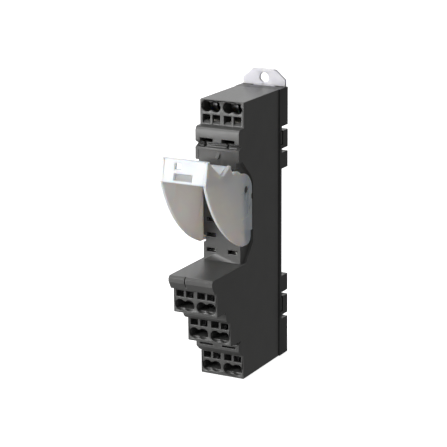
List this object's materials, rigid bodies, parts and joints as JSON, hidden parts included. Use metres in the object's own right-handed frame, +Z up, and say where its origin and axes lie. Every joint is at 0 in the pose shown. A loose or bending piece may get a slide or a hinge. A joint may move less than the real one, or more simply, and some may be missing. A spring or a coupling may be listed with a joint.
{
  "type": "relay socket",
  "caption": "Slim DIN-rail socket for a plug-in relay: stepped dark housing with push-in wire clamps, white release lever and rail hooks.",
  "frame": {"origin": "middle of the rail seat: centre of the width, on the floor of the rail channel in the back, at the rail's centre line", "axes": "+Z up along the housing's height, -Y towards the front where wires and relay go in, +X along the rail"},
  "size_m": [0.0164, 0.0555, 0.0953],
  "materials": {
    "case_plastic": "moulded dark grey polyamide, satin",
    "base_plastic": "moulded dark grey polyamide, satin",
    "lever_plastic": "moulded off-white plastic, slightly glossy",
    "hook_plastic": "moulded translucent white plastic",
    "busbar_metal": "rolled copper alloy",
    "contact_metal": "bright tinned copper alloy",
    "spring_steel": "stainless spring strip"
  },
  "bodies": {
    "housing": {"front_case": "case_plastic", "base_cover": "base_plastic", "busbar_top_left": "busbar_metal", "busbar_top_right": "busbar_metal", "busbar_tier1_left": "busbar_metal", "busbar_tier1_right": "busbar_metal", "busbar_tier2_left": "busbar_metal", "busbar_tier2_right": "busbar_metal", "busbar_tier3_left": "busbar_metal", "busbar_tier3_right": "busbar_metal", "contact_row1_left": "contact_metal", "contact_row1_right": "contact_metal", "contact_row2_left": "contact_metal", "contact_row2_right": "contact_metal", "contact_row3_left": "contact_metal", "contact_row3_right": "contact_metal", "contact_coil_left": "contact_metal", "contact_coil_right": "contact_metal", "spring_top_1": "spring_steel", "spring_top_2": "spring_steel", "spring_top_3": "spring_steel", "spring_top_4": "spring_steel", "spring_tier1_1": "spring_steel", "spring_tier1_2": "spring_steel", "spring_tier1_3": "spring_steel", "spring_tier1_4": "spring_steel", "spring_tier2_1": "spring_steel", "spring_tier2_2": "spring_steel", "spring_tier2_3": "spring_steel", "spring_tier2_4": "spring_steel", "spring_tier3_1": "spring_steel", "spring_tier3_2": "spring_steel", "spring_tier3_3": "spring_steel", "spring_tier3_4": "spring_steel"},
    "lever": {"release_lever": "lever_plastic"},
    "upper_hook": {"upper_hook": "hook_plastic"},
    "lower_hook": {"lower_hook": "hook_plastic"}
  },
  "joints": [
    {"name": "lever_swing", "type": "hinge", "parent": "housing", "child": "lever", "pos_m": [0, -0.0248, 0.0167], "axis": [-1, 0, 0], "range_deg": [0, 18]},
    {"name": "upper_hook_slide", "type": "slide", "parent": "housing", "child": "upper_hook", "axis": [0, 0, 1], "range_m": [0, 0.0045]},
    {"name": "lower_hook_slide", "type": "slide", "parent": "housing", "child": "lower_hook", "axis": [0, 0, -1], "range_m": [0, 0.0045]}
  ]
}
